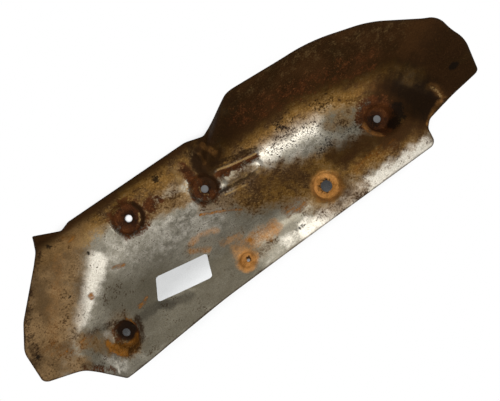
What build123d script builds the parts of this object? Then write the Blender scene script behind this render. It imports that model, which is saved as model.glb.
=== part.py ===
from build123d import *
import math
import os

# Exhaust heat shield: one pressed steel sheet, in millimetres, +Z up.
# The origin is the middle bolt seat's hole, on the plane that the low seats rest on.
# X runs along the straight lower lip, and the open side of the trough faces up.

# Sheet
THICKNESS = 1.0
FOLD_RADIUS = 4.0           # inner radius of the folds round the floor
RIDGE_RADIUS = 14.0         # inner radius along the top of the sloping panel
SHOULDER_RADIUS = 60.0      # broad turn between the sloping panel and its shoulder
TROUGH_RADIUS = 30.0        # broad turn between the floor and the sloping panel
CORNER_RADIUS = 24.0        # inner radius where one upright wall turns into the next

# Trough floor, level along the line of low seats and draining to the left end
FLOOR_HEIGHT = 6.0
FLOOR_FALL = 2.6            # degrees
SEAT_LINE = ((-71.3, 20.5), (163.1, -44.4))

# Panels, each tilted by an angle in degrees about its foot line on the plan
PANEL_FOOT = ((-83.4, 0.2), (132.5, -34.6))
PANEL_ANGLE = 33.0
VALLEY_DROP = 4.2           # how far the left end's folds lie below the floor
SHOULDER_FOOT = ((-184.0, -66.0), (-112.0, 16.0))
SHOULDER_ANGLE = 31.0
LEFT_FOOT = ((-184.2, -63.1), (-125.4, 48.1))
LEFT_ANGLE = 37.0
ROLLED_EDGE_FOOT = ((0.0, 33.4), (92.8, 29.2))
ROLLED_EDGE_ANGLE = 58.0
WALL_FOOT = ((0.0, 13.4), (92.8, 9.2))
WALL_ANGLE = 58.0
FAR_WALL_FOOT = ((121.5, 2.8), (201.3, -25.3))
FAR_WALL_ANGLE = 53.5
END_FOOT = ((207.4, -100.0), (207.4, 0.0))
END_ANGLE = 51.0

# Lip that falls from the panel's ridge to the straight edge
LIP_LINE = ((-150.0, -90.0), (190.0, -90.0))
LIP_HEIGHT_LEFT = 36.0
LIP_HEIGHT_RIGHT = 17.0
LIP_ANGLE = 15.5

# Joggle where the tall wall begins: a face through these three points
JOGGLE_FOOT = (8.0, 14.0, 6.0)
JOGGLE_CREST = (60.0, 44.0, 58.0)
JOGGLE_BACK = (28.0, 34.0, 9.0)

# Trimmed outline on the plan: x, y and corner radius, clockwise from the left flange
OUTLINE = [
    (-138.8, 54.4, 2.0),
    (-121.0, 45.6, 6.0),
    (-110.0, 47.5, 8.0),
    (12.0, 41.2, 30.0),
    (28.0, 36.6, 8.0),
    (61.0, 45.3, 10.0),
    (138.0, 38.2, 150.0),
    (185.0, 22.0, 150.0),
    (237.0, -7.0, 18.0),
    (242.7, -34.0, 40.0),
    (238.4, -62.0, 4.0),
    (214.0, -68.3, 6.0),
    (193.0, -71.5, 10.0),
    (187.0, -77.0, 6.0),
    (186.0, -92.3, 6.0),
    (60.0, -88.7, 400.0),
    (-40.0, -86.6, 400.0),
    (-100.0, -88.4, 300.0),
    (-147.8, -90.6, 6.0),
    (-187.0, -63.7, 30.0),
    (-209.8, -51.0, 6.0),
    (-203.5, -20.0, 25.0),
    (-189.6, 1.0, 40.0),
    (-158.2, 34.8, 60.0),
    (-146.4, 48.5, 10.0),
]
BLANK_MARGIN = 14.0         # sheet beyond the outline before trimming

# Bolt seats, pressed as cups: x, y, height of the flat, radius of the flat, radius of the hole
SEAT_DRAFT = 20.0           # degrees from upright
SEAT_CORNER = 2.0           # inner radius where the flat meets its wall
SEATS = {
    "seat_1": (-71.3, 20.5, 1.0, 13.0, 3.5),
    "seat_2": (0.0, 0.0, 1.0, 11.0, 3.5),
    "seat_3": (163.1, -44.4, 1.0, 10.0, 3.5),
    "seat_4": (86.7, -63.5, 20.5, 11.0, 5.0),
    "seat_6": (-129.6, -59.6, 16.0, 10.0, 3.5),
}

# Small dimple with a pierced hole in the lip: x, y, height of the flat, radius of the flat, radius of the hole
DIMPLE = (-5.2, -72.7, 30.4, 6.0, 1.3)

# Stiffening bead raised from the floor beside the middle seat
BEAD_CENTRE = (36.5, -7.5)
BEAD_LENGTH = 40.0
BEAD_WIDTH = 13.0
BEAD_HEIGHT = 2.5
BEAD_DRAFT = 45.0           # degrees from upright

HIGHEST = 130.0             # taller than any wall
LOWEST = -30.0              # deeper than any cup
VAST = 900.0                # longer than the sheet, for a panel before it is folded


def tangent(angle):
    return math.tan(math.radians(angle))


def panel(foot, height, angle):
    """A flat panel through a foot line, rising to the line's left for a positive angle."""
    (ax, ay), (bx, by) = foot
    along = Vector(bx - ax, by - ay, 0).normalized()
    uphill = Vector(-along.Y, along.X, tangent(angle))
    return Plane(origin=(ax, ay, height), x_dir=along, z_dir=along.cross(uphill))


def panel_through(first, second, third):
    """A flat panel through three points, which go round anticlockwise from above."""
    across = Vector(*second) - Vector(*first)
    normal = across.cross(Vector(*third) - Vector(*first))
    return Plane(origin=first, x_dir=across, z_dir=normal)


def over(plane):
    centred = (Align.CENTER, Align.CENTER, Align.MIN)
    return plane.location * Box(VAST, VAST, VAST, align=centred)


def under(plane):
    centred = (Align.CENTER, Align.CENTER, Align.MAX)
    return plane.location * Box(VAST, VAST, VAST, align=centred)


def blank_room():
    """The room round the outline that the sheet is folded in."""
    xs = [x for x, _, _ in OUTLINE]
    ys = [y for _, y, _ in OUTLINE]
    length = max(xs) - min(xs) + 2 * BLANK_MARGIN
    width = max(ys) - min(ys) + 2 * BLANK_MARGIN
    centre = Pos((max(xs) + min(xs)) / 2, (max(ys) + min(ys)) / 2, LOWEST)
    return centre * Box(length, width, HIGHEST - LOWEST, align=(Align.CENTER, Align.CENTER, Align.MIN))


def sharp_folds(solid):
    """The edges where two panels meet at an angle, without those on the room's own sides and top."""
    room = solid.bounding_box()
    faces = solid.faces()
    folds = []
    for edge in solid.edges():
        middle = edge.position_at(0.5)
        in_length = room.min.X + THICKNESS < middle.X < room.max.X - THICKNESS
        in_width = room.min.Y + THICKNESS < middle.Y < room.max.Y - THICKNESS
        if in_length and in_width and middle.Z < room.max.Z - THICKNESS:
            first, second = [face for face in faces if any(edge.is_same(side) for side in face.edges())]
            if first.normal_at(middle).get_angle(second.normal_at(middle)) > 1:
                folds.append(edge)
    return folds


def folds_between(solid, first, second):
    """The sharp folds that lie in both of two panels."""
    folds = []
    for edge in sharp_folds(solid):
        middle = edge.position_at(0.5)
        if max(abs(side.to_local_coords(middle).Z) for side in (first, second)) < THICKNESS / 100:
            folds.append(edge)
    return folds


def floor_panel():
    return panel(SEAT_LINE, FLOOR_HEIGHT, FLOOR_FALL)


def inner_space():
    """The space over the sheet's inner face, with every fold rounded."""
    valley_height = FLOOR_HEIGHT - VALLEY_DROP
    left_flange = panel(LEFT_FOOT, valley_height, LEFT_ANGLE)
    rolled_edge = panel(ROLLED_EDGE_FOOT, FLOOR_HEIGHT, ROLLED_EDGE_ANGLE)
    far_wall = panel(FAR_WALL_FOOT, FLOOR_HEIGHT, FAR_WALL_ANGLE)
    end_plate = panel(END_FOOT, FLOOR_HEIGHT, -END_ANGLE)
    space = blank_room()
    for side in (floor_panel(), left_flange, rolled_edge, far_wall, end_plate):
        space = space & over(side)

    slope = panel(PANEL_FOOT, FLOOR_HEIGHT, -PANEL_ANGLE)
    shoulder = panel(SHOULDER_FOOT, valley_height, -SHOULDER_ANGLE)
    (left_x, lip_y), (right_x, _) = LIP_LINE
    lip_rise = (right_x - left_x) * tangent(LIP_ANGLE)
    lip = panel_through(
        (left_x, lip_y, LIP_HEIGHT_LEFT),
        (right_x, lip_y, LIP_HEIGHT_RIGHT),
        (left_x, lip_y + right_x - left_x, LIP_HEIGHT_LEFT + lip_rise),
    )
    space = space - (under(slope) & under(shoulder) & under(lip))

    tall_wall = panel(WALL_FOOT, FLOOR_HEIGHT, WALL_ANGLE)
    joggle = panel_through(JOGGLE_FOOT, JOGGLE_CREST, JOGGLE_BACK)
    space = space - (under(tall_wall) & under(joggle))

    corners = folds_between(space, tall_wall, far_wall) + folds_between(space, far_wall, end_plate)
    space = fillet(corners, CORNER_RADIUS)
    space = fillet(folds_between(space, slope, shoulder), SHOULDER_RADIUS)
    space = fillet(folds_between(space, slope, lip) + folds_between(space, shoulder, lip), RIDGE_RADIUS)
    space = fillet(folds_between(space, floor_panel(), slope), TROUGH_RADIUS)
    return fillet(sharp_folds(space), FOLD_RADIUS)


def cup_space(x, y, flat_height, flat_radius, skin):
    """The space in a pressed cup: skin 0 gives its inner face, one thickness its outer face."""
    widening = tangent(SEAT_DRAFT)
    depth = (HIGHEST - LOWEST) / 4
    corner = flat_radius + skin * (math.hypot(1, widening) - widening)
    blend = (SEAT_CORNER + skin) * tangent((90 - SEAT_DRAFT) / 2)
    rise = blend * math.cos(math.radians(SEAT_DRAFT))
    wall_start = (corner + widening * rise, rise)
    section = Polyline((0, depth), (0, 0), (corner - blend, 0))
    section += Bezier((corner - blend, 0), (corner, 0), wall_start)
    section += Polyline(wall_start, (corner + widening * depth, depth), (0, depth))
    return Pos(x, y, flat_height - skin) * revolve(make_face(Plane.XZ * section), Axis.Z)


def bead_form(skin):
    """The raised bead: skin 0 gives its inner face, one thickness the hollow on its outer face."""
    widening = tangent(BEAD_DRAFT)
    inset = widening * BEAD_HEIGHT + skin * (math.hypot(1, widening) - widening)
    crest = SlotOverall(BEAD_LENGTH - 2 * inset, BEAD_WIDTH - 2 * inset)
    form = extrude(crest, BEAD_HEIGHT + 2 * THICKNESS, dir=(0, 0, -1), taper=-BEAD_DRAFT)
    (ax, ay), (bx, by) = SEAT_LINE
    turn = math.degrees(math.atan2(by - ay, bx - ax))
    foot = floor_panel().to_local_coords(Vector(*BEAD_CENTRE, 0)).Z
    crest_height = BEAD_HEIGHT - foot - skin
    return Pos(*BEAD_CENTRE, crest_height) * Rot(0, 0, turn) * form


def build_shield():
    corners = [(x, y) for x, y, _ in OUTLINE]
    radii = [radius for _, _, radius in OUTLINE]
    outline = make_face(FilletPolyline(*corners, radius=radii, close=True))
    trimmed = Pos(0, 0, LOWEST) * extrude(outline, HIGHEST - LOWEST - THICKNESS, dir=(0, 0, 1))

    inner = inner_space()
    outer = offset(inner, THICKNESS, kind=Kind.INTERSECTION)
    for x, y, flat_height, flat_radius, _ in SEATS.values():
        inner = inner + cup_space(x, y, flat_height, flat_radius, 0.0)
        outer = outer + cup_space(x, y, flat_height, flat_radius, THICKNESS)
    inner = inner + cup_space(*DIMPLE[:4], 0.0) - bead_form(0.0)
    outer = outer + cup_space(*DIMPLE[:4], THICKNESS) - bead_form(THICKNESS)

    shield = (trimmed & outer) - inner
    for x, y, _, _, hole_radius in [*SEATS.values(), DIMPLE]:
        shield = shield - Pos(x, y, 0) * Cylinder(hole_radius, HIGHEST)
    return shield


os.makedirs("parts", exist_ok=True)
export_step(build_shield(), "parts/heat_shield.step")
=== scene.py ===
"""Looks of a used exhaust heat shield: one pressed steel sheet and the blank paper label stuck on it."""

import math
from collections import namedtuple

import bpy
import numpy as np
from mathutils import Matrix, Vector
from mathutils.geometry import delaunay_2d_cdt


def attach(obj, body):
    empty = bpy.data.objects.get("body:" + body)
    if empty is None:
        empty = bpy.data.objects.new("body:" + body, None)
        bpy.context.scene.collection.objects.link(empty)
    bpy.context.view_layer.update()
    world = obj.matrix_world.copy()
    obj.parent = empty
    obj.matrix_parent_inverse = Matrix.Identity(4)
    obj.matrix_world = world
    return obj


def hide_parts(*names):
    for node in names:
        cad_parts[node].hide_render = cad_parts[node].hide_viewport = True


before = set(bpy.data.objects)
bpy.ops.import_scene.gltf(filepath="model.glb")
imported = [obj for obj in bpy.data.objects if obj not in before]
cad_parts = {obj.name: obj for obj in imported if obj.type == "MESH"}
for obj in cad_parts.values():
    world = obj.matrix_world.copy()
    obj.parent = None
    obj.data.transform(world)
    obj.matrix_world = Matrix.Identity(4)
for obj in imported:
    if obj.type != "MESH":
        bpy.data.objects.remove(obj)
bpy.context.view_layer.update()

# Sizes in millimetres and angles in degrees, the same as in the part's source
MM = 0.001
THICKNESS = 1.0
FLOOR_HEIGHT = 6.0
FLOOR_FALL = 2.6
SEAT_LINE = ((-71.3, 20.5), (163.1, -44.4))
PANEL_FOOT = ((-83.4, 0.2), (132.5, -34.6))
PANEL_ANGLE = 33.0
VALLEY_HEIGHT = 1.8
SHOULDER_FOOT = ((-184.0, -66.0), (-112.0, 16.0))
SHOULDER_ANGLE = 31.0
LEFT_FOOT = ((-184.2, -63.1), (-125.4, 48.1))
LEFT_ANGLE = 37.0
ROLLED_EDGE_FOOT = ((0.0, 33.4), (92.8, 29.2))
ROLLED_EDGE_ANGLE = 58.0
WALL_FOOT = ((0.0, 13.4), (92.8, 9.2))
WALL_ANGLE = 58.0
FAR_WALL_FOOT = ((121.5, 2.8), (201.3, -25.3))
FAR_WALL_ANGLE = 53.5
END_FOOT = ((207.4, -100.0), (207.4, 0.0))
END_ANGLE = 51.0
LIP_LINE = ((-150.0, -90.0), (190.0, -90.0))
LIP_HEIGHT_LEFT = 36.0
LIP_HEIGHT_RIGHT = 17.0
LIP_ANGLE = 15.5
JOGGLE = ((8.0, 14.0, 6.0), (60.0, 44.0, 58.0), (28.0, 34.0, 9.0))
SEAT_DRAFT = 20.0
BEAD_CENTRE = (36.5, -7.5)
BEAD_LENGTH = 40.0
BEAD_WIDTH = 13.0
BEAD_HEIGHT = 2.5

# The mesh stops here, just under the solid's top
TALLEST = 60.7

# Height differences over which two neighbouring faces run into each other
SHOULDER_ROUND = 30.0
LIP_ROUND = 10.0
JOGGLE_ROUND = 16.0
FAR_WALL_ROUND = 10.0
END_ROUND = 24.0
PANEL_ROUND = 12.0
FLANGE_ROUND = 7.0
ROLLED_EDGE_ROUND = 9.0
WALL_ROUND = 10.0
BEAD_ROUND = 1.5
SEAT_ROUND = 2.0

# Outline corners seen from above: x, y and the radius that rounds the corner
OUTLINE = [
    (-138.8, 54.4, 2.0),
    (-121.0, 45.6, 6.0),
    (-110.0, 47.5, 8.0),
    (12.0, 41.2, 30.0),
    (28.0, 36.6, 8.0),
    (61.0, 45.3, 10.0),
    (138.0, 38.2, 150.0),
    (185.0, 22.0, 150.0),
    (237.0, -7.0, 18.0),
    (242.7, -34.0, 40.0),
    (238.4, -62.0, 4.0),
    (214.0, -68.3, 6.0),
    (193.0, -71.5, 10.0),
    (187.0, -77.0, 6.0),
    (186.0, -92.3, 6.0),
    (60.0, -88.7, 400.0),
    (-40.0, -86.6, 400.0),
    (-100.0, -88.4, 300.0),
    (-147.8, -90.6, 6.0),
    (-187.0, -63.7, 30.0),
    (-209.8, -51.0, 6.0),
    (-203.5, -20.0, 25.0),
    (-189.6, 1.0, 40.0),
    (-158.2, 34.8, 60.0),
    (-146.4, 48.5, 10.0),
]

# Cups pressed into the sheet, each with a round hole
Cup = namedtuple("Cup", "x y flat_height flat_radius hole_radius mesh_reach mouth_round")
CUPS = {
    "seat_1": Cup(-71.3, 20.5, 1.0, 13.0, 3.5, 20.0, 5.0),
    "seat_2": Cup(0.0, 0.0, 1.0, 11.0, 3.5, 17.0, 5.0),
    "seat_3": Cup(163.1, -44.4, 1.0, 10.0, 3.5, 20.0, 7.0),
    "seat_4": Cup(86.7, -63.5, 20.5, 11.0, 5.0, 19.0, 7.0),
    "seat_6": Cup(-129.6, -59.6, 16.0, 10.0, 3.5, 22.0, 7.0),
    "dimple": Cup(-5.2, -72.7, 30.4, 6.0, 1.3, 10.0, 2.5),
}

# Ring that a washer has pressed up round each hole
PRINT_RADIUS = 6.2
PRINT_HEIGHT = 0.35

# Creases and wrinkles left by the press and by use: height, half width and the line that each follows
CREASES = [
    (1.3, 1.5, ((18, 6), (36, 2), (57, -3))),
    (-1.0, 1.8, ((19, 10), (38, 6), (61, 0))),
    (-1.4, 1.7, ((11, -10), (31, -12), (50, -14))),
    (0.9, 1.4, ((14, -13), (33, -15), (49, -17))),
    (1.3, 2.6, ((8, 35), (11, 27), (10, 15))),
    (-1.1, 2.2, ((13, 33), (15, 25), (13, 15))),
    (1.2, 2.4, ((18, 32), (20, 22), (16, 12))),
    (-0.9, 2.0, ((23, 30), (26, 21), (22, 11))),
    (1.0, 2.2, ((27, 30), (31, 20), (36, 13))),
    (-0.8, 2.0, ((33, 27), (37, 19), (44, 12))),
]

# The label's corners: top left, top right, low right, low left
LABEL_CORNERS = ((-77.3, -36.7), (-29.5, -46.7), (-36.8, -65.0), (-86.2, -54.4))
LABEL_RADIUS = 2.2
LABEL_THICKNESS = 0.12
LABEL_LIFT = 0.12
LABEL_RIPPLE = 0.06
LABEL_SUNK = 0.1
LABEL_COLUMNS = 48
LABEL_ROWS = 24

# Stains, wear, painted shade and painted highlights seen from above: kind, half width, strength and the
# line that it follows
STAINS_AND_PAINTED_LIGHT = [
    # Dark oxide past the third seat; painted shade in the crevice by the end plate, on the end plate, on
    # the third seat's far cup wall and on the joggle
    ("oxide_and_shade", 21.6, 1.0, ((184, -36), (193, -60))),
    ("oxide_and_shade", 10.8, 0.75, ((111, -49), (171, -65))),
    # Painted shade in the crevice by the end plate and on the end plate
    ("soot_and_shade", 18.0, 0.75, ((201, -34), (202, -48), (199, -58))),
    ("soot_and_shade", 18.0, 0.35, ((231, -26), (228, -54))),
    # Painted shade on the far wall of the third seat's cup
    ("dark", 4.5, 1.0, ((181, -46), (177, -53), (168, -57))),
    ("dark", 2.7, 1.2, ((230, -47),)),
    # Painted shade on the joggle
    ("soot_and_shade", 19.8, 0.4, ((53, 38), (35, 31), (22, 25))),
    ("oxide_and_shade", 12.6, 0.9, ((28, 35), (27, 21), (15, 14))),
    ("oxide_and_shade", 4.5, 0.8, ((-4, 26), (-3, 17))),
    # Smoky brown over the panel between the bead and the fourth seat
    ("gold", 18.0, 1.0, ((32, -26), (72, -46), (107, -55))),
    ("oxide_and_shade", 10.8, 0.4, ((45, -27), (84, -46))),
    ("gold", 16.2, 1.0, ((199, -68), (160, -65), (114, -60))),
    ("gold", 10.8, 1.0, ((152, -8), (189, -24))),
    ("gold", 9.9, 0.5, ((127, -22), (147, -28))),
    ("gold", 10.8, 0.8, ((26, 17), (58, 6))),
    ("gold", 16.2, 1.0, ((-71, 37), (-24, 33), (12, 28))),
    ("gold", 10.8, 0.7, ((82, -80), (107, -81))),
    ("gold", 9.0, 0.6, ((-8, -12), (29, -30))),
    ("gold", 10.8, 0.3, ((-3, -72), (16, -69))),
    ("gold", 8.1, 0.75, ((-61, 15), (-37, 9), (-18, 3))),
    ("gold", 7.2, 0.2, ((176, -88), (95, -85))),
    # Tan film at the foot of the left flange
    ("tan", 9.9, 0.8, ((-194, -49), (-183, -61))),
    ("tan", 9.0, 0.5, ((-177, -38), (-156, -49))),
    # Brown rust in and round the seats
    ("umber", 14.4, 1.7, ((-70, 20),)),
    # Painted shade on the far wall of the first seat's cup
    ("grime_and_shade", 2.7, 1.5, ((-59, 27), (-57, 20), (-60, 13), (-64, 9))),
    ("umber", 5.0, 1.1, ((-47, 19), (-48, 15))),
    ("umber", 2.2, 1.2, ((-38, 20), (-37, 15))),
    ("umber", 11.7, 1.4, ((0, 0),)),
    ("grime_and_shade", 4.5, 1.2, ((10, 25), (7, 16), (8, 8), (10, -2))),
    ("umber", 4.5, 1.0, ((-6, 8), (-4, 16), (-4, 26))),
    ("umber", 15.3, 1.7, ((162, -42),)),
    ("umber", 9.9, 1.3, ((-129, -58),)),
    ("umber", 2.7, 1.3, ((-117, -58), (-119, -65), (-125, -69))),
    # Painted shade on the far wall of the sixth seat's cup and above its tongue
    ("grime_and_shade", 3.1, 0.75, ((-110, -54), (-111, -62), (-114, -69), (-123, -74), (-132, -74))),
    ("grime_and_shade", 2.7, 0.5, ((-129, -47), (-148, -43), (-164, -40))),
    ("gold", 7.2, 0.5, ((-170, -44), (-155, -58))),
    ("gold", 18.0, 0.55, ((-130, -60),)),
    ("umber", 4.0, 1.0, ((20, 1), (53, -4))),
    # Painted shadow along the bead's upper side
    ("grime_and_shade", 2.2, 0.9, ((19, 13), (37, 7), (59, 1))),
    ("umber", 3.6, 0.6, ((-181, -65), (-159, -79))),
    ("grime_and_shade", 2.7, 0.5, ((-183, -61), (-164, -70))),
    ("umber", 7.2, 0.42, ((59, 29), (100, 21), (146, 11), (181, -1))),
    # Washer prints, near black round the holes
    ("dark", 7.2, 0.8, ((-70, 20),)),
    ("dark", 6.3, 0.6, ((0, 0),)),
    ("dark", 7.2, 0.8, ((160, -44),)),
    ("soot_and_shade", 9.0, 1.3, ((-128, -58),)),
    ("grime_and_shade", 5.9, 1.0, ((86, -63),)),
    ("dark", 5.4, 0.8, ((86, -63),)),
    ("dark", 2.3, 0.9, ((-4, -72),)),
    # Orange rust
    ("amber", 11.7, 1.05, ((86, -63),)),
    ("gold", 23.4, 1.0, ((86, -63),)),
    # Painted shadow beside the fourth seat's ring, laid as oxide
    ("oxide_and_shade", 4.5, 0.5, ((104, -67), (97, -78), (85, -81))),
    ("amber", 8.1, 1.3, ((-6, -72),)),
    ("rust", 8.1, 0.4, ((-6, -72),)),
    ("rust", 4.5, 1.15, ((-148, -60), (-145, -66), (-138, -70), (-130, -72), (-124, -70))),
    ("gold", 8.1, 0.8, ((-148, -60), (-137, -70), (-125, -70))),
    ("grime_and_shade", 5.4, 0.3, ((-147, -62), (-138, -70), (-126, -71))),
    ("rust", 2.7, 0.9, ((-120, -52), (-118, -55))),
    ("amber", 7.2, 0.44, ((-7, -61), (13, -62), (29, -63))),
    ("gold", 6.3, 0.22, ((-42, -36), (-18, -42), (5, -50))),
    ("rust", 4.5, 0.36, ((-5, -58), (12, -60), (26, -62))),
    ("amber", 3.1, 0.36, ((-14, -48), (2, -52))),
    ("amber", 3.1, 0.38, ((-36, -32), (-26, -31), (-12, -36))),
    ("amber", 2.7, 0.46, ((-41, -37), (-26, -45))),
    ("rust", 1.2, 0.9, ((-16, -17), (0, -25), (16, -35))),
    ("rust", 2.9, 1.1, ((-139, -15),)),
    ("rust", 3.6, 0.55, ((-125, 39), (-120, 36))),
    ("rust", 1.8, 0.8, ((-107, -7), (-97, -11))),
    ("rust", 1.8, 0.8, ((-103, -48), (-93, -46))),
    ("rust", 5.4, 0.55, ((46, -60), (59, -61))),
    ("rust", 6.3, 0.35, ((153, -69), (115, -66))),
    ("rust", 8.1, 0.35, ((-190, -32), (-181, -46))),
    ("rust", 4.5, 0.45, ((-171, -46), (-163, -44))),
    # Soot specks and pits
    ("dark", 3.1, 1.0, ((-29, 33),)),
    ("dark", 2.2, 0.9, ((-140, 42),)),
    ("dark", 1.4, 0.8, ((-118, 17),)),
    ("dark", 1.6, 0.8, ((-155, -4),)),
    ("dark", 2.0, 0.9, ((-200, -30),)),
    ("dark", 7.2, 0.42, ((124, -3), (136, -5))),
    ("dark", 12.6, 0.28, ((113, -20), (130, -30))),
    ("dark", 6.3, 0.46, ((104, -35), (113, -35))),
    ("dark", 6.3, 0.42, ((86, 4), (96, 3))),
    ("dark", 8.1, 0.32, ((130, -40), (148, -38))),
    ("dark", 14.4, 0.26, ((72, -11), (107, -16))),
    ("dark", 1.6, 0.5, ((43, -77), (50, -78))),
    # Painted shade along the groove under the bead
    ("grime_and_shade", 2.2, 0.95, ((11, -11), (27, -14), (44, -16))),
    # Painted shade under the ridge, on the shoulder and across the panel, laid as duller, darker metal
    ("dull_and_shade", 14.4, 0.9, ((-102, -63), (-46, -76), (-12, -77))),
    ("dull_and_shade", 18.0, 1.0, ((-117, -30), (-104, -41), (-78, -44))),
    ("dull_and_shade", 14.4, 0.8, ((-168, -54), (-153, -56))),
    ("soot_and_shade", 4.5, 0.45, ((-110, -56), (-88, -56), (-77, -62), (-61, -66))),
    ("dull_and_shade", 8.1, 1.0, ((-114, -79), (-88, -81), (-65, -84))),
    ("dull_and_shade", 23.4, 0.5, ((-79, -29), (-70, -64))),
    ("dull_and_shade", 10.8, 0.5, ((12, -38), (54, -54))),
    ("dull_and_shade", 12.6, 1.0, ((129, -23), (146, -27))),
    ("dull_and_shade", 10.8, 1.1, ((-47, -61), (-2, -64))),
    # Rubbed bright metal, which also carries painted highlights along the folds, on the floor, on the
    # bead's crest and on the lip
    ("rubbed_and_highlight", 9.0, 0.95, ((-116, 6), (-134, -10))),
    ("rubbed_and_highlight", 7.2, 0.75, ((-133, -8), (-161, -28))),
    ("rubbed_and_highlight", 9.0, 0.2, ((-80, 5), (-59, 3), (-17, -2))),
    ("rubbed_and_highlight", 19.8, 0.32, ((-96, -2), (-47, -13), (-4, -21))),
    ("rubbed_and_highlight", 6.3, 0.25, ((-24, 24), (-11, 16))),
    ("rubbed_and_highlight", 12.6, 0.6, ((60, -10), (83, -9), (110, -13))),
    ("rubbed_and_highlight", 18.0, 0.3, ((69, -18), (116, -27))),
    ("rubbed_and_highlight", 8.1, 0.34, ((15, -13), (52, -17))),
    ("rubbed_and_highlight", 7.2, 1.0, ((178, -87), (85, -84), (49, -82))),
    ("rubbed_and_highlight", 5.4, 0.5, ((47, -82), (29, -80))),
    ("rubbed_and_highlight", 5.4, 0.25, ((29, -80), (3, -81))),
    ("rubbed_and_highlight", 1.8, 1.0, ((18, 6), (56, -3))),
    ("amber", 6.3, 0.2, ((157, -12), (175, -17))),
    # Pale crests, rims and edges: painted highlights laid as worn metal and as amber, other pale wear,
    # painted shade along the left flange's edge, and scuffs
    ("worn_and_highlight", 0.8, 1.1, ((20, 6), (37, 1), (56, -3))),
    ("worn_and_highlight", 0.7, 0.9, ((12, -16), (32, -20))),
    ("worn_and_highlight", 4.5, 0.26, ((21, -11), (48, -15))),
    ("amber", 3.6, 0.36, ((148, -42), (148, -50), (152, -56))),
    # Painted highlights on the joggle's wrinkle crests
    ("amber", 2.9, 0.3, ((22, 31), (27, 19))),
    ("amber", 2.7, 0.28, ((15, 27), (14, 18))),
    ("worn_and_highlight", 5.4, 0.32, ((-9, 28), (-15, 8))),
    ("worn_and_highlight", 7.2, 0.34, ((-116, 28), (-99, 28))),
    # Painted shade along the left flange's outer edge
    ("grime_and_shade", 3.6, 0.5, ((-148, 45), (-177, 14), (-194, -9), (-203, -37))),
    ("worn_and_highlight", 12.6, 0.12, ((71, 43), (120, 36), (169, 23), (208, 5))),
    ("worn_and_highlight", 0.9, 0.55, ((-61, 19), (-63, 14), (-68, 11))),
    ("worn_and_highlight", 0.9, 0.4, ((-3, 4), (-5, -2), (-1, -6))),
    # Painted highlights on the notch and edge at the right-hand end
    ("amber", 3.1, 0.36, ((213, -49), (215, -54), (215, -62))),
    ("worn_and_highlight", 1.0, 0.4, ((213, -50), (215, -56), (214, -62))),
    ("amber", 2.2, 0.55, ((211, -65), (199, -68), (189, -74))),
    ("rubbed_and_highlight", 1.1, 0.7, ((-150, -74), (-153, -83))),
    ("rubbed_and_highlight", 4.5, 0.7, ((-146, -52), (-145, -56))),
    ("rubbed_and_highlight", 5.4, 0.4, ((-158, -67), (-145, -81))),
    # Painted highlight band down the left flange
    ("amber", 5.4, 0.24, ((-140, 29), (-165, 2), (-184, -24))),
]

KINDS = ("gold", "tan", "oxide_and_shade", "umber", "amber", "rust")
KINDS += ("soot_and_shade", "grime_and_shade", "dark", "worn_and_highlight", "rubbed_and_highlight", "dull_and_shade")

# A stroke is full up to half its half width, and gone at one and a half of it
STAIN_END = 1.5

# Strokes of a smaller half width than this wander less, and round ones less again
WANDER_WIDTH = 9.0
ROUND_WANDER = 0.35

# How far a wall's plane is above the floor's where a film on it starts, and where the film is full
WALL_OXIDE = (-14.0, 20.0)
ROLLED_EDGE_OXIDE = (-4.0, 14.0)
WALL_GOLD = (-40.0, -4.0)
ROLLED_EDGE_GOLD = (-34.0, -4.0)

# Where the flange's tan film ends on the floor, film on its left, and how it fades across that line
TAN_LINE = ((-175.0, -37.0), (-110.0, 30.0))
TAN_FADE = (-16.0, 14.0)

# The dark rim beside the cut edge is full up to this far from it, and gone at twice as far
EDGE_WIDTH = 0.9

# The plain underside has a thin film of its own and no stains
UNDERSIDE = {"dull_and_shade": 0.6, "tan": 0.2}

# Mesh: spacing of its points, the finer patch round the bead, and the rings round each hole
MESH_STEP = 1.4
FINE_STEP = 0.9
FINE_LOW = (-4.0, -22.0)
FINE_HIGH = (66.0, 38.0)
RING_STEP = 0.6
RING_POINTS = 72
RING_GAP = 0.4
CORNER_STEPS = 3
SAME_POINT = 1e-6
MERGE_GAP = 1e-5
FLAT_FACE = 0.001
HOLE_SLACK = 0.99
SLOPE_REACH = 0.1
POINT_BATCHES = 40
SHEET_SHARP = 55.0
LABEL_SHARP = 50.0

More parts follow.
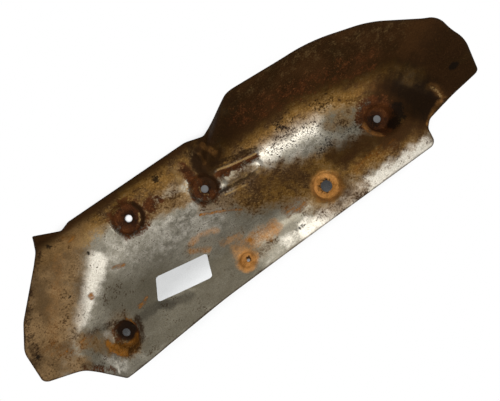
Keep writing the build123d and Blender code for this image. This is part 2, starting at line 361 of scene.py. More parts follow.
# Colours as they look on a screen, 0 to 255
TONES = {
    "steel_dark": (90, 85, 74),
    "steel_light": (121, 116, 103),
    # Rubbed metal, also the colour of painted highlights
    "steel_rubbed_and_lit": (190, 184, 171),
    # Dulled metal, also the colour of painted shade
    "steel_dulled_and_shaded": (75, 69, 55),
    "steel_speck": (84, 76, 60),
    "steel_pit": (52, 38, 22),
    "gold_light": (120, 83, 16),
    "gold_dark": (60, 35, 1),
    "gold_fleck": (40, 24, 7),
    "gold_chip": (164, 138, 92),
    "tan_dark": (86, 64, 36),
    "tan_light": (136, 106, 68),
    "tan_fleck": (66, 45, 21),
    # Brown oxide, also the colour of painted shade
    "oxide_and_shade_dark": (29, 15, 2),
    "oxide_and_shade_light": (54, 33, 13),
    "oxide_and_shade_speck": (64, 42, 19),
    "umber_dark": (36, 17, 6),
    "umber_light": (72, 39, 16),
    "umber_speck": (100, 64, 34),
    # Amber rust, also the colour of painted highlights
    "amber_dark": (124, 80, 31),
    "amber_light": (188, 132, 72),
    "rust_dark": (84, 47, 5),
    "rust_light": (132, 82, 21),
    # Soot, also the colour of painted shade
    "soot_and_shade": (12, 6, 2),
    # Grime, also the colour of painted shade
    "grime_and_shade": (34, 20, 7),
    # Dark specks, also the colour of painted shade
    "dark": (12, 7, 3),
    # Worn pale metal, also the colour of painted highlights
    "worn_and_highlight": (150, 122, 78),
    "rim": (40, 27, 14),
    "cut_dark": (40, 29, 20),
    "cut_light": (92, 72, 52),
    "paper_dark": (199, 200, 200),
    "paper_light": (211, 212, 212),
    "paper_soiled": (186, 180, 170),
}

# A mask weaker than this is thinned
MASK_FULL = 0.35

# Brushed streaks run along the part: their turn and how far they are drawn out
STREAK_TURN = math.radians(15)
STREAK_STRETCH = (0.12, 1, 1)

# Floor and light, in metres. The floor's shade is set by how much of the sky the part hides from it
FLOOR_REACH = 3.0
FLOOR_LEVEL = -0.001
FLOOR_GREY = 0.85
FLOOR_ROUGHNESS = 0.9
SHADOW_REACH = 0.09
SHADOW_SAMPLES = 16
SHADOW_SPAN = (0.2, 0.65)
DEEPEST_SHADE = 0.05
# Painted shade: the dark discs on the floor under two holes
SHADED_LEVEL = -0.0005
SHADED_GREY = 0.12
SHADED_RADIUS = 0.006
SHADED_POINTS = 24
WORLD_LIGHT = 0.07

# View: the picture is turned about the part's upright axis, and the camera looks straight down
VIEW_TURN = math.radians(37.3)
CAMERA_PLACE = (0.0264, -0.0333, 0.42)
LAMP_AIM = (0.026, -0.033, 0.02)
SENSOR_WIDTH = 36.0
PICTURE_WIDTH = 500
FOCAL_PIXELS = 461.5
NEAREST_SEEN = 0.01


def tangent(angle):
    return math.tan(math.radians(angle))


def left_of(x, y, line):
    """Signed distance from a line, positive on its left."""
    (ax, ay), (bx, by) = line
    length = math.hypot(bx - ax, by - ay)
    return ((bx - ax) * (y - ay) - (by - ay) * (x - ax)) / length


def soft_max(a, b, width):
    """The larger of two heights, rounded off where they differ by less than the width."""
    near = np.maximum(width - np.abs(a - b), 0.0) / width
    return np.maximum(a, b) + near * near * width / 4


def soft_min(a, b, width):
    """The smaller of two heights, rounded off where they differ by less than the width."""
    return -soft_max(-a, -b, width)


def plane_height(x, y, corners):
    """Height of the plane through three points."""
    first, second, third = (np.array(corner) for corner in corners)
    normal = np.cross(second - first, third - first)
    return first[2] - (normal[0] * (x - first[0]) + normal[1] * (y - first[1])) / normal[2]


def segment_distance(x, y, start, end):
    """Distance to a straight run between two points."""
    (ax, ay), (bx, by) = start, end
    square = (bx - ax) ** 2 + (by - ay) ** 2
    along = np.clip(((x - ax) * (bx - ax) + (y - ay) * (by - ay)) / square, 0.0, 1.0)
    return np.hypot(x - ax - along * (bx - ax), y - ay - along * (by - ay))


def path_distance(x, y, points):
    """Distance to the line through some points, or to a single point."""
    if len(points) == 1:
        return np.hypot(x - points[0][0], y - points[0][1])
    return np.min([segment_distance(x, y, start, end) for start, end in zip(points, points[1:])], axis=0)


def panel_heights(x, y):
    """Heights of the flat panels over a point: floor, hill, left flange, rolled edge and walls."""
    floor = FLOOR_HEIGHT + tangent(FLOOR_FALL) * left_of(x, y, SEAT_LINE)
    slope = FLOOR_HEIGHT - tangent(PANEL_ANGLE) * left_of(x, y, PANEL_FOOT)
    shoulder = VALLEY_HEIGHT - tangent(SHOULDER_ANGLE) * left_of(x, y, SHOULDER_FOOT)
    (lip_left, lip_y), (lip_right, _) = LIP_LINE
    lip_rise = LIP_HEIGHT_RIGHT - LIP_HEIGHT_LEFT
    lip_edge = LIP_HEIGHT_LEFT + lip_rise * (x - lip_left) / (lip_right - lip_left)
    lip = lip_edge + tangent(LIP_ANGLE) * (y - lip_y)
    hill = soft_min(soft_min(slope, shoulder, SHOULDER_ROUND), lip, LIP_ROUND)
    flange = VALLEY_HEIGHT + tangent(LEFT_ANGLE) * left_of(x, y, LEFT_FOOT)
    rolled = FLOOR_HEIGHT + tangent(ROLLED_EDGE_ANGLE) * left_of(x, y, ROLLED_EDGE_FOOT)
    wall = FLOOR_HEIGHT + tangent(WALL_ANGLE) * left_of(x, y, WALL_FOOT)
    wall = soft_min(wall, plane_height(x, y, JOGGLE), JOGGLE_ROUND)
    far_wall = FLOOR_HEIGHT + tangent(FAR_WALL_ANGLE) * left_of(x, y, FAR_WALL_FOOT)
    end_plate = FLOOR_HEIGHT - tangent(END_ANGLE) * left_of(x, y, END_FOOT)
    walls = soft_max(soft_max(wall, far_wall, FAR_WALL_ROUND), end_plate, END_ROUND)
    return floor, hill, flange, rolled, walls


def panel_height(x, y):
    """Height of the folded panels, before anything is pressed into them."""
    floor, hill, flange, rolled, walls = panel_heights(x, y)
    height = soft_max(floor, hill, PANEL_ROUND)
    height = soft_max(height, flange, FLANGE_ROUND)
    height = soft_max(height, rolled, ROLLED_EDGE_ROUND)
    return soft_max(height, walls, WALL_ROUND)


def bead_height(x, y):
    """Height of the stiffening bead over the floor that it is pressed out of."""
    (ax, ay), (bx, by) = SEAT_LINE
    length = math.hypot(bx - ax, by - ay)
    half_run = (BEAD_LENGTH - BEAD_WIDTH) / 2
    reach_x = half_run * (bx - ax) / length
    reach_y = half_run * (by - ay) / length
    start = (BEAD_CENTRE[0] - reach_x, BEAD_CENTRE[1] - reach_y)
    end = (BEAD_CENTRE[0] + reach_x, BEAD_CENTRE[1] + reach_y)
    rise = soft_max(BEAD_WIDTH / 2 - segment_distance(x, y, start, end), 0.0, BEAD_ROUND)
    return soft_min(rise, BEAD_HEIGHT, BEAD_ROUND)


def sheet_height(x, y):
    """Height of the sheet's inner face."""
    height = panel_height(x, y) + bead_height(x, y)
    for crease_height, half_width, points in CREASES:
        height = height + crease_height * np.exp(-((path_distance(x, y, points) / half_width) ** 2))
    for cup in CUPS.values():
        radius = np.hypot(x - cup.x, y - cup.y)
        flat = cup.flat_height + PRINT_HEIGHT * np.exp(-((radius - PRINT_RADIUS) ** 2))
        wall = cup.flat_height + (radius - cup.flat_radius) / tangent(SEAT_DRAFT)
        height = soft_min(height, soft_max(flat, wall, SEAT_ROUND), cup.mouth_round)
    return np.clip(height, THICKNESS, TALLEST)


def sheet_normals(x, y):
    """Directions that stand square on the sheet's inner face, each with an upward part of 1."""
    slope_x = (sheet_height(x + SLOPE_REACH, y) - sheet_height(x - SLOPE_REACH, y)) / (2 * SLOPE_REACH)
    slope_y = (sheet_height(x, y + SLOPE_REACH) - sheet_height(x, y - SLOPE_REACH)) / (2 * SLOPE_REACH)
    return np.column_stack((-slope_x, -slope_y, np.ones(len(x))))


def rounded_outline():
    """The outline as points no further apart than the mesh step, with every corner rounded."""
    corners = []
    count = len(OUTLINE)
    for index, (x, y, radius) in enumerate(OUTLINE):
        here = np.array((x, y))
        back = np.array(OUTLINE[index - 1][:2]) - here
        ahead = np.array(OUTLINE[(index + 1) % count][:2]) - here
        back = back / np.linalg.norm(back)
        ahead = ahead / np.linalg.norm(ahead)
        half = math.acos(float(np.dot(back, ahead))) / 2
        middle = (back + ahead) / np.linalg.norm(back + ahead)
        centre = here + middle * radius / math.sin(half)
        start = here + back * radius / math.tan(half)
        end = here + ahead * radius / math.tan(half)
        first = math.atan2(start[1] - centre[1], start[0] - centre[0])
        sweep = math.atan2(end[1] - centre[1], end[0] - centre[0]) - first
        sweep = (sweep + math.pi) % (2 * math.pi) - math.pi
        steps = max(CORNER_STEPS, math.ceil(abs(sweep) * radius / MESH_STEP))
        for step in range(steps + 1):
            angle = first + sweep * step / steps
            corners.append(centre + radius * np.array((math.cos(angle), math.sin(angle))))
    points = []
    for index, here in enumerate(corners):
        ahead = corners[(index + 1) % len(corners)]
        run = np.linalg.norm(ahead - here)
        if run > SAME_POINT:
            steps = max(1, math.ceil(run / MESH_STEP))
            for step in range(steps):
                points.append(here + (ahead - here) * step / steps)
    return np.array(points)


def inside(points, loop):
    """True for the points inside a closed loop."""
    result = np.zeros(len(points), bool)
    for (ax, ay), (bx, by) in zip(loop, np.roll(loop, -1, axis=0)):
        if ay != by:
            crosses = (points[:, 1] < ay) != (points[:, 1] < by)
            result ^= crosses & (points[:, 0] < ax + (points[:, 1] - ay) * (bx - ax) / (by - ay))
    return result


def edge_gap(x, y, outline):
    """Distance from each point to the nearest point of the outline."""
    gaps = []
    for part_x, part_y in zip(np.array_split(x, POINT_BATCHES), np.array_split(y, POINT_BATCHES)):
        every = np.hypot(part_x[:, None] - outline[None, :, 0], part_y[:, None] - outline[None, :, 1])
        gaps.append(every.min(axis=1))
    return np.concatenate(gaps)


def lattice(low, high, step):
    """Points in staggered rows over a rectangle."""
    row_step = step * math.sqrt(3) / 2
    rows = []
    for row in range(math.ceil((high[1] - low[1]) / row_step)):
        xs = np.arange(low[0] + 0.5 * step * (row % 2), high[0], step)
        rows.append(np.column_stack((xs, np.full(len(xs), low[1] + row * row_step))))
    return np.vstack(rows)


def from_cup(points, cup):
    """Distance from each point to a cup's middle, seen from above."""
    return np.hypot(points[:, 0] - cup.x, points[:, 1] - cup.y)


def plan_points():
    """Points of the sheet seen from above: closed loops along its edges, and loose ones between them."""
    outline = rounded_outline()
    loops = [outline]
    loose = []
    for cup in CUPS.values():
        rings = round((cup.mesh_reach - cup.hole_radius) / RING_STEP)
        for ring in range(rings + 1):
            radius = cup.hole_radius + (cup.mesh_reach - cup.hole_radius) * ring / rings
            turns = (np.arange(RING_POINTS) + 0.5 * (ring % 2)) * 2 * math.pi / RING_POINTS
            circle = np.column_stack((cup.x + radius * np.cos(turns), cup.y + radius * np.sin(turns)))
            if ring == 0:
                loops.append(circle)
            else:
                loose.append(circle)
    coarse = lattice(outline.min(axis=0), outline.max(axis=0), MESH_STEP)
    off_patch = np.any((coarse < FINE_LOW) | (coarse > FINE_HIGH), axis=1)
    field = np.vstack((coarse[off_patch], lattice(FINE_LOW, FINE_HIGH, FINE_STEP)))
    keep = inside(field, outline) & (edge_gap(field[:, 0], field[:, 1], outline) > MESH_STEP)
    for cup in CUPS.values():
        keep &= from_cup(field, cup) > cup.mesh_reach + RING_GAP * MESH_STEP
    loose.append(field[keep])
    return loops, loose


def plan_mesh():
    """Triangles of the sheet seen from above: points, and corner numbers anticlockwise."""
    loops, loose = plan_points()
    edges = []
    total = 0
    for loop in loops:
        numbers = np.arange(len(loop)) + total
        edges += list(zip(numbers.tolist(), np.roll(numbers, -1).tolist()))
        total += len(loop)
    points = np.vstack(loops + loose)
    result = delaunay_2d_cdt([Vector(point) for point in points.tolist()], edges, [], 0, MERGE_GAP)
    points = np.array([tuple(point) for point in result[0]])
    faces = np.array(result[2])
    centres = points[faces].mean(axis=1)
    keep = inside(centres, loops[0])
    for cup in CUPS.values():
        keep &= from_cup(centres, cup) > cup.hole_radius * HOLE_SLACK
    faces = faces[keep]
    first, second, third = (points[faces[:, corner]] for corner in range(3))
    turn = (second[:, 0] - first[:, 0]) * (third[:, 1] - first[:, 1])
    turn -= (second[:, 1] - first[:, 1]) * (third[:, 0] - first[:, 0])
    faces[turn < 0] = faces[turn < 0][:, ::-1]
    faces = faces[np.abs(turn) > FLAT_FACE]
    used = np.unique(faces)
    renumber = np.zeros(len(points), int)
    renumber[used] = np.arange(len(used))
    return points[used], renumber[faces]


def new_mesh(name, points, faces, sharp):
    """A smooth mesh from points in millimetres, with sharp edges where faces meet at more than an angle."""
    mesh = bpy.data.meshes.new(name)
    mesh.from_pydata((points * MM).tolist(), [], faces)
    mesh.polygons.foreach_set("use_smooth", [True] * len(mesh.polygons))
    mesh.set_sharp_from_angle(angle=math.radians(sharp))
    return mesh


def sheet_mesh():
    """The whole sheet: inner face, outer face one thickness away, and the cut edge between them."""
    points, faces = plan_mesh()
    x, y = points[:, 0], points[:, 1]
    normals = sheet_normals(x, y)
    stretch = np.linalg.norm(normals, axis=1)
    upper = np.column_stack((x, y, sheet_height(x, y)))
    lower = upper - THICKNESS * normals / stretch[:, None]

    sides = np.vstack((faces[:, (0, 1)], faces[:, (1, 2)], faces[:, (2, 0)]))
    ends = np.sort(sides, axis=1)
    _, place, uses = np.unique(ends, axis=0, return_inverse=True, return_counts=True)
    rim = sides[uses[place.ravel()] == 1]
    on_rim = np.unique(rim)
    lower[on_rim, :2] = upper[on_rim, :2]
    lower[on_rim, 2] = upper[on_rim, 2] - THICKNESS * stretch[on_rim]
    lower[:, 2] = np.maximum(lower[:, 2], 0.0)

    count = len(points)
    quads = np.column_stack((rim[:, 0], rim[:, 0] + count, rim[:, 1] + count, rim[:, 1]))
    all_faces = faces.tolist() + (faces[:, ::-1] + count).tolist() + quads.tolist()
    mesh = new_mesh("heat_shield_sheet", np.vstack((upper, lower)), all_faces, SHEET_SHARP)
    return mesh, points, len(rim)


def ease(value, low, high):
    """0 below low and 1 above high, smooth between them."""
    share = np.clip((value - low) / (high - low), 0.0, 1.0)
    return share * share * (3 - 2 * share)


def wander(x, y):
    """How far a place is moved, so that what is laid along straight lines comes out uneven."""
    shift_x = 1.3 * np.sin(0.42 * x + 0.23 * y)
    shift_x += 0.9 * np.sin(0.71 * y - 0.55 * x + 2)
    shift_x += 0.6 * np.sin(1.3 * x + 0.9 * y)
    shift_y = 1.3 * np.sin(0.27 * x - 0.45 * y + 1)
    shift_y += 0.9 * np.sin(0.66 * x + 0.61 * y)
    shift_y += 0.6 * np.sin(1.1 * x - 1.2 * y)
    return shift_x, shift_y


def wear_and_painted_light_masks(x, y):
    """How much of each kind of stain, wear, painted shade and painted highlight lies at each point."""
    masks = {kind: np.zeros(len(x)) for kind in KINDS}
    shift_x, shift_y = wander(x, y)
    for kind, half_width, strength, points in STAINS_AND_PAINTED_LIGHT:
        share = min(1.0, half_width / WANDER_WIDTH)
        if len(points) == 1:
            share = share * ROUND_WANDER
        distance = path_distance(x + share * shift_x, y + share * shift_y, points)
        amount = strength * np.clip(STAIN_END - distance / half_width, 0.0, 1.0)
        masks[kind] = np.maximum(masks[kind], amount)
    floor, _, _, rolled, walls = panel_heights(x, y)
    films = [
        ("oxide_and_shade", walls - floor, WALL_OXIDE),
        ("oxide_and_shade", rolled - floor, ROLLED_EDGE_OXIDE),
        ("gold", walls - floor, WALL_GOLD),
        ("gold", rolled - floor, ROLLED_EDGE_GOLD),
        ("tan", left_of(x, y, TAN_LINE), TAN_FADE),
    ]
    for kind, value, (low, high) in films:
        masks[kind] = np.maximum(masks[kind], ease(value, low, high))
    masks["edge"] = np.clip(2.0 - edge_gap(x, y, rounded_outline()) / EDGE_WIDTH, 0.0, 1.0)
    return masks


def label_mesh():
    """A paper label with rounded corners, lying on the sheet."""
    top_left, top_right, low_right, low_left = (np.array(corner) for corner in LABEL_CORNERS)
    width = np.linalg.norm(top_right - top_left)
    height = np.linalg.norm(low_left - top_left)
    places = []
    for row in range(LABEL_ROWS + 1):
        down = row / LABEL_ROWS
        into = max(0.0, LABEL_RADIUS - height * min(down, 1 - down))
        inset = (LABEL_RADIUS - math.sqrt(LABEL_RADIUS ** 2 - into ** 2)) / width
        for column in range(LABEL_COLUMNS + 1):
            across = inset + (1 - 2 * inset) * column / LABEL_COLUMNS
            upper_end = top_left + (top_right - top_left) * across
            lower_end = low_left + (low_right - low_left) * across
            places.append(upper_end + (lower_end - upper_end) * down)
    x, y = np.array(places).T
    normals = sheet_normals(x, y)
    normals = normals / np.linalg.norm(normals, axis=1)[:, None]
    lift = LABEL_LIFT + LABEL_RIPPLE * np.sin(x * 0.35 + y * 0.2) * np.sin(y * 0.3)
    base = np.column_stack((x, y, sheet_height(x, y)))
    upper = base + normals * (lift + LABEL_THICKNESS)[:, None]
    lower = base + normals * (lift - LABEL_SUNK)[:, None]

    count = len(x)
    stride = LABEL_COLUMNS + 1
    faces = []
    for row in range(LABEL_ROWS):
        for column in range(LABEL_COLUMNS):
            start = row * stride + column
            square = (start + stride, start + stride + 1, start + 1, start)
            faces.append(square)
            faces.append([count + corner for corner in reversed(square)])
    ring = list(range(stride))
    ring += [row * stride + LABEL_COLUMNS for row in range(1, LABEL_ROWS + 1)]
    ring += [LABEL_ROWS * stride + column for column in range(LABEL_COLUMNS - 1, -1, -1)]
    ring += [row * stride for row in range(LABEL_ROWS - 1, 0, -1)]
    for here, ahead in zip(ring, ring[1:] + ring[:1]):
        faces.append((here, ahead, ahead + count, here + count))
    return new_mesh("paper_label", np.vstack((upper, lower)), faces, LABEL_SHARP)


def colour(name):
    """One of the tones, as a shader needs it."""
    screen = np.array(TONES[name]) / 255
    light = np.where(screen <= 0.04045, screen / 12.92, ((screen + 0.055) / 1.055) ** 2.4)
    return [*light.tolist(), 1.0]


def grey(level):
    return (level, level, level, 1)


def add(tree, kind, inputs, **settings):
    """A shader node with its settings, and its inputs set or linked."""
    made = tree.nodes.new("ShaderNode" + kind)
    for name, value in settings.items():
        setattr(made, name, value)
    for name, value in inputs.items():
        if isinstance(value, bpy.types.NodeSocket):
            tree.links.new(value, made.inputs[name])
        else:
            made.inputs[name].default_value = value
    return made


def own_place(tree):
    """Where a point is on the part, in metres."""
    return add(tree, "TexCoord", {}).outputs["Object"]


def noise(tree, place, scale, detail, roughness):
    inputs = {"Vector": place, "Scale": scale, "Detail": detail, "Roughness": roughness}
    return add(tree, "TexNoise", inputs).outputs["Fac"]


def attribute(tree, name):
    """One of the masks of stain, wear, painted shade and painted highlight, as it is kept on the sheet's
    points.
    """
    return add(tree, "Attribute", {}, attribute_name=name).outputs["Fac"]


def calc(tree, operation, first, second):
    return add(tree, "Math", {0: first, 1: second}, operation=operation).outputs[0]


def times(tree, first, second):
    return calc(tree, "MULTIPLY", first, second)


def summed(tree, first, first_weight, second, second_weight):
    """The sum of two values, each times its weight."""
    return calc(tree, "ADD", times(tree, first, first_weight), times(tree, second, second_weight))


def swing(tree, texture, size):
    """A texture as a shift up and down from nothing."""
    return times(tree, calc(tree, "SUBTRACT", texture, 0.5), size)


def largest(tree, values):
    result = values[0]
    for value in values[1:]:
        result = calc(tree, "MAXIMUM", result, value)
    return result


def span(tree, value, low, high):
    """0 below low and 1 above high, smooth between them."""
    inputs = {"Value": value, "From Min": low, "From Max": high}
    return add(tree, "MapRange", inputs, interpolation_type="SMOOTHSTEP").outputs["Result"]


def blend(tree, share, first, second):
    """Goes from the first colour to the second."""
    return add(tree, "Mix", {0: share, 6: first, 7: second}, data_type="RGBA").outputs[2]


def cover(tree, under, tone, mask, strength):
    """The colour underneath with a tone laid over it where the mask is."""
    return blend(tree, times(tree, mask, strength), under, tone)


def broken(tree, name, texture, spread, fade):
    """One of the sheet's masks with its edge broken up by a texture, and half the span that it fades over.
    """
    mask = attribute(tree, name)
    shifted = calc(tree, "ADD", mask, swing(tree, texture, spread))
    return times(tree, span(tree, shifted, 0.5 - fade, 0.5 + fade), span(tree, mask, 0.0, MASK_FULL))


def new_material(name):
    material = bpy.data.materials.new(name)
    material.use_nodes = True
    return material, material.node_tree, material.node_tree.nodes["Principled BSDF"]


def steel_material():
    """Aluminised steel, dulled, pitted and rubbed, under heat tint, oxide, tan film and rust, with painted
    shade and painted highlights laid over it.
    """
    material, tree, shader = new_material("shield_steel")
    place = own_place(tree)
    drawn_out = {"Vector": place, "Rotation": (0, 0, STREAK_TURN), "Scale": STREAK_STRETCH}
    along = add(tree, "Mapping", drawn_out).outputs["Vector"]
    cloud = noise(tree, place, scale=38.0, detail=6.0, roughness=0.6)
    blotch = noise(tree, place, scale=130.0, detail=8.0, roughness=0.65)
    speck = noise(tree, place, scale=620.0, detail=4.0, roughness=0.6)
    streak = noise(tree, along, scale=420.0, detail=5.0, roughness=0.6)
    fine = noise(tree, place, scale=1100.0, detail=3.0, roughness=0.7)
    tone = summed(tree, cloud, 0.75, streak, 0.25)
    ragged = summed(tree, blotch, 0.6, speck, 0.4)
    patchy = summed(tree, ragged, 0.5, cloud, 0.5)
    smear = summed(tree, blotch, 0.45, streak, 0.55)
    speckled = summed(tree, blotch, 0.35, speck, 0.65)
    crowded = calc(tree, "ADD", speck, swing(tree, blotch, 0.9))
    crowded = calc(tree, "ADD", crowded, swing(tree, cloud, 0.7))

    # Bare metal, with painted highlights laid as rubbed metal and painted shade laid as dulled metal
    surface = blend(tree, span(tree, tone, 0.35, 0.65), colour("steel_dark"), colour("steel_light"))
    # Painted highlights along the folds, on the floor, on the bead and on the lip, laid as rubbed metal
    rubbed_and_highlight = broken(tree, "rubbed_and_highlight", ragged, spread=3.0, fade=0.5)
    surface = blend(tree, rubbed_and_highlight, surface, colour("steel_rubbed_and_lit"))
    # Painted shade laid as duller, darker metal; the plain underside uses it as a thin film
    dull_and_shade_film = attribute(tree, "dull_and_shade")
    surface = cover(tree, surface, colour("steel_dulled_and_shaded"), dull_and_shade_film, strength=0.7)
    surface = cover(tree, surface, colour("steel_speck"), span(tree, speck, 0.45, 0.75), strength=0.5)
    pits = times(tree, span(tree, crowded, 0.65, 0.77), 0.8)
    surface = blend(tree, pits, surface, colour("steel_pit"))

    # Heat tint
    gold = broken(tree, "gold", patchy, spread=4.0, fade=0.5)
    gold_tone = blend(tree, span(tree, patchy, 0.38, 0.62), colour("gold_light"), colour("gold_dark"))
    surface = cover(tree, surface, gold_tone, gold, strength=0.88)
    flecks = times(tree, gold, span(tree, crowded, 0.54, 0.7))
    surface = cover(tree, surface, colour("gold_fleck"), flecks, strength=0.45)
    chips = times(tree, gold, span(tree, calc(tree, "SUBTRACT", 1.0, speck), 0.56, 0.7))
    surface = cover(tree, surface, colour("gold_chip"), chips, strength=0.28)

    # Tan film, and brown oxide that also carries painted shade on the joggle, in the crevice and beside the
    # fourth seat
    tan = broken(tree, "tan", ragged, spread=1.6, fade=0.5)
    tan_tone = blend(tree, span(tree, cloud, 0.35, 0.65), colour("tan_dark"), colour("tan_light"))
    tan_tone = blend(tree, span(tree, crowded, 0.5, 0.75), tan_tone, colour("tan_fleck"))
    surface = cover(tree, surface, tan_tone, tan, strength=0.9)
    oxide_and_shade = broken(tree, "oxide_and_shade", cloud, spread=1.0, fade=0.5)
    oxide_and_shade_tone = blend(tree, span(tree, cloud, 0.3, 0.7), colour("oxide_and_shade_dark"), colour("oxide_and_shade_light"))
    oxide_and_shade_tone = blend(tree, span(tree, speck, 0.5, 0.85), oxide_and_shade_tone, colour("oxide_and_shade_speck"))
    surface = blend(tree, oxide_and_shade, surface, oxide_and_shade_tone)

    # Rust, from brown to orange; the amber also carries painted highlights on crests, edges and the left
    # flange
    umber = broken(tree, "umber", ragged, spread=5.0, fade=0.4)
    umber_tone = blend(tree, span(tree, blotch, 0.3, 0.7), colour("umber_dark"), colour("umber_light"))
    umber_tone = blend(tree, span(tree, speck, 0.5, 0.8), umber_tone, colour("umber_speck"))
    surface = blend(tree, umber, surface, umber_tone)
    # Amber rust, and painted highlights on crests, edges and the left flange
    amber = broken(tree, "amber", ragged, spread=1.0, fade=0.5)
    amber_tone = blend(tree, span(tree, blotch, 0.3, 0.7), colour("amber_dark"), colour("amber_light"))
    surface = cover(tree, surface, amber_tone, amber, strength=0.92)
    rust = broken(tree, "rust", smear, spread=3.2, fade=0.5)
    rust_tone = blend(tree, span(tree, rust, 0.4, 1.0), colour("rust_dark"), colour("rust_light"))
    surface = blend(tree, times(tree, rust, span(tree, speck, 0.1, 0.68)), surface, rust_tone)

    # Soot, grime and dark specks, which also carry painted shade; worn crests, which also carry painted
    # highlights; the rim and a fine grain over all
    # Soot on the sixth seat's print, and painted shade in the crevice, on the end plate, on the joggle and
    # under the ridge
    soot_and_shade = broken(tree, "soot_and_shade", cloud, spread=0.8, fade=0.5)
    surface = cover(tree, surface, colour("soot_and_shade"), soot_and_shade, strength=0.92)
    # Grime, and painted shade on cup walls, beside the bead and along the flange's edge
    grime_and_shade = broken(tree, "grime_and_shade", ragged, spread=4.0, fade=0.5)
    surface = cover(tree, surface, colour("grime_and_shade"), grime_and_shade, strength=0.85)
    # Dark specks, pits and washer prints, and painted shade in the third seat's cup
    dark = broken(tree, "dark", speckled, spread=3.6, fade=0.35)
    surface = cover(tree, surface, colour("dark"), dark, strength=0.9)
    # Worn pale metal, and painted highlights on crests and rims
    worn_and_highlight = broken(tree, "worn_and_highlight", ragged, spread=4.0, fade=0.45)
    surface = cover(tree, surface, colour("worn_and_highlight"), worn_and_highlight, strength=0.7)
    rim = broken(tree, "edge", blotch, spread=1.2, fade=0.35)
    surface = cover(tree, surface, colour("rim"), rim, strength=0.75)
    limits = {"From Min": 0.3, "From Max": 0.7, "To Min": 0.72, "To Max": 1.28}
    grainy = add(tree, "MapRange", {"Value": fine, **limits}).outputs["Result"]
    surface = add(tree, "HueSaturation", {"Value": grainy, "Color": surface}).outputs["Color"]

    # Gloss and relief
    # The heat tint and the dulled patches of painted shade are less glossy
    thin_films = [times(tree, gold, 0.6), times(tree, dull_and_shade_film, 0.5)]
    matte = largest(tree, [tan, oxide_and_shade, umber, rust, amber, dark, grime_and_shade, soot_and_shade, pits] + thin_films)
    bare = calc(tree, "SUBTRACT", 1.0, matte)
    roughness = calc(tree, "ADD", summed(tree, matte, 0.32, tone, 0.3), 0.3)
    relief = summed(tree, speck, matte, pits, -0.4)
    bump = add(tree, "Bump", {"Height": relief, "Strength": 0.35, "Distance": 0.0006})
    shader.inputs["Specular IOR Level"].default_value = 0.05
    tree.links.new(surface, shader.inputs["Base Color"])
    tree.links.new(times(tree, bare, 0.75), shader.inputs["Metallic"])
    tree.links.new(roughness, shader.inputs["Roughness"])
    tree.links.new(bump.outputs["Normal"], shader.inputs["Normal"])
    return material


def edge_material():
    """The cut edge of the sheet, browned."""
    material, tree, shader = new_material("cut_edge")
    tone = noise(tree, own_place(tree), scale=300.0, detail=4.0, roughness=0.6)
    surface = blend(tree, span(tree, tone, 0.35, 0.65), colour("cut_dark"), colour("cut_light"))
    tree.links.new(surface, shader.inputs["Base Color"])
    shader.inputs["Metallic"].default_value = 0.3
    shader.inputs["Roughness"].default_value = 0.6
    return material


def paper_material():
    """White label paper, a little soiled."""
    material, tree, shader = new_material("label_paper")
    place = own_place(tree)
    fibre = noise(tree, place, scale=1500.0, detail=4.0, roughness=0.7)
    soil = noise(tree, place, scale=90.0, detail=6.0, roughness=0.65)
    surface = blend(tree, span(tree, fibre, 0.3, 0.7), colour("paper_dark"), colour("paper_light"))
    surface = blend(tree, span(tree, soil, 0.6, 0.85), surface, colour("paper_soiled"))
    bump = add(tree, "Bump", {"Height": fibre, "Strength": 0.1, "Distance": 0.0001})
    tree.links.new(surface, shader.inputs["Base Color"])
    tree.links.new(bump.outputs["Normal"], shader.inputs["Normal"])
    shader.inputs["Roughness"].default_value = 0.5
    return material


def plainly_seen(tree):
    """1 where the camera, a mirror or glass looks at a background, so that it shows as plain white."""
    path = add(tree, "LightPath", {})
    rays = ("Is Camera Ray", "Is Glossy Ray", "Is Transmission Ray")
    return largest(tree, [path.outputs[ray] for ray in rays])


def floor_material():
    """Pale floor that shows as white, and darkens where the part stands close over it."""
    material, tree, shader = new_material("pale_floor")
    shader.inputs["Base Color"].default_value = grey(FLOOR_GREY)
    shader.inputs["Roughness"].default_value = FLOOR_ROUGHNESS
    covered = add(tree, "AmbientOcclusion", {"Distance": SHADOW_REACH}, samples=SHADOW_SAMPLES)
    open_share = span(tree, covered.outputs["AO"], *SHADOW_SPAN)
    strength = calc(tree, "MAXIMUM", open_share, DEEPEST_SHADE)
    white = add(tree, "Emission", {"Color": grey(1.0), "Strength": strength})
    choices = {0: plainly_seen(tree), 1: shader.outputs[0], 2: white.outputs[0]}
    shown = add(tree, "MixShader", choices)
    tree.links.new(shown.outputs[0], tree.nodes["Material Output"].inputs["Surface"])
    return material


def shaded_material():
    """Floor in deep shade."""
    material, _, shader = new_material("shaded_floor")
    shader.inputs["Base Color"].default_value = grey(SHADED_GREY)
    shader.inputs["Roughness"].default_value = FLOOR_ROUGHNESS
    return material


def place_piece(name, mesh):
    piece = bpy.data.objects.new(name, mesh)
    bpy.context.scene.collection.objects.link(piece)
    return piece


def soft_lamp(name, right, up, out, size, power):
    """A soft lamp aimed at the part, placed by the picture's right, up and out towards the viewer."""
    lamp = bpy.data.lights.new(name, "AREA")
    lamp.shape = "DISK"
    lamp.size = size
    lamp.energy = power
    holder = place_piece(name, lamp)
    x = LAMP_AIM[0] + right * math.cos(VIEW_TURN) + up * math.sin(VIEW_TURN)
    y = LAMP_AIM[1] - right * math.sin(VIEW_TURN) + up * math.cos(VIEW_TURN)
    holder.location = (x, y, out)
    aim = Vector(LAMP_AIM) - holder.location
    holder.rotation_euler = aim.to_track_quat("-Z", "Y").to_euler()


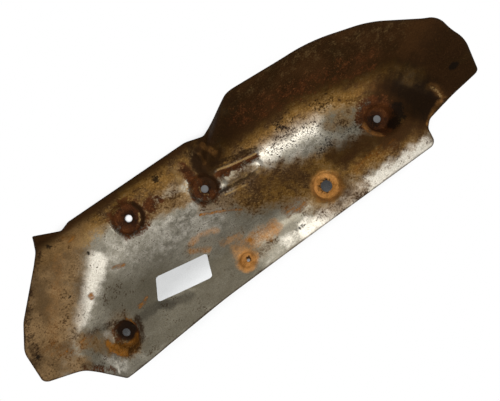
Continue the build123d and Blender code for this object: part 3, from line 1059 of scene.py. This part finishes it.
# The sheet
sheet_data, sheet_points, rim_count = sheet_mesh()
for kind, amount in wear_and_painted_light_masks(sheet_points[:, 0], sheet_points[:, 1]).items():
    values = sheet_data.attributes.new(kind, "FLOAT", "POINT")
    under_side = np.full(len(amount), UNDERSIDE.get(kind, 0.0))
    values.data.foreach_set("value", np.concatenate((amount, under_side)))
sheet_data.materials.append(steel_material())
sheet_data.materials.append(edge_material())
face_count = len(sheet_data.polygons)
finishes = np.zeros(face_count, int)
finishes[face_count - rim_count:] = 1
sheet_data.polygons.foreach_set("material_index", finishes)
sheet = place_piece("heat_shield_sheet", sheet_data)
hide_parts("heat_shield")
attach(sheet, "root")

# The label
label_data = label_mesh()
label_data.materials.append(paper_material())
label = place_piece("paper_label", label_data)
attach(label, "root")

# Floor
corner_signs = ((-1, -1), (1, -1), (1, 1), (-1, 1))
floor_corners = [(FLOOR_REACH * along, FLOOR_REACH * across, FLOOR_LEVEL) for along, across in corner_signs]
floor_mesh = bpy.data.meshes.new("floor")
floor_mesh.from_pydata(floor_corners, [], [(0, 1, 2, 3)])
floor_mesh.materials.append(floor_material())
floor = place_piece("floor", floor_mesh)

# Painted shade: dark discs on the floor in the holes of two seats that rest on it
shaded_points = []
shaded_faces = []
for name in ("seat_2", "seat_3"):
    cup = CUPS[name]
    shaded_faces.append(range(len(shaded_points), len(shaded_points) + SHADED_POINTS))
    for step in range(SHADED_POINTS):
        turn = 2 * math.pi * step / SHADED_POINTS
        x = cup.x * MM + SHADED_RADIUS * math.cos(turn)
        y = cup.y * MM + SHADED_RADIUS * math.sin(turn)
        shaded_points.append((x, y, SHADED_LEVEL))
shaded = bpy.data.meshes.new("painted_shade_under_holes")
shaded.from_pydata(shaded_points, [], shaded_faces)
shaded.materials.append(shaded_material())
place_piece("painted_shade_under_holes", shaded)

# Light
soft_lamp("main", right=0.08, up=0.0, out=1.2, size=0.4, power=12)
soft_lamp("right", right=0.55, up=-0.6, out=1.0, size=0.35, power=4)
soft_lamp("left", right=-0.9, up=-0.1, out=0.7, size=0.4, power=2)
world = bpy.data.worlds.new("studio")
world.use_nodes = True
sky = world.node_tree.nodes["Background"]
sky.inputs["Color"].default_value = grey(1.0)
strengths = {"To Min": WORLD_LIGHT, "To Max": 1.0}
glow = add(world.node_tree, "MapRange", {"Value": plainly_seen(world.node_tree), **strengths})
world.node_tree.links.new(glow.outputs["Result"], sky.inputs["Strength"])
bpy.context.scene.world = world

# Camera
lens = bpy.data.cameras.new("camera")
lens.sensor_width = SENSOR_WIDTH
lens.lens = SENSOR_WIDTH * FOCAL_PIXELS / PICTURE_WIDTH
lens.clip_start = NEAREST_SEEN
camera = place_piece("camera", lens)
camera.location = CAMERA_PLACE
camera.rotation_euler = (0, 0, -VIEW_TURN)
bpy.context.scene.camera = camera
bpy.context.scene.view_settings.view_transform = "Standard"
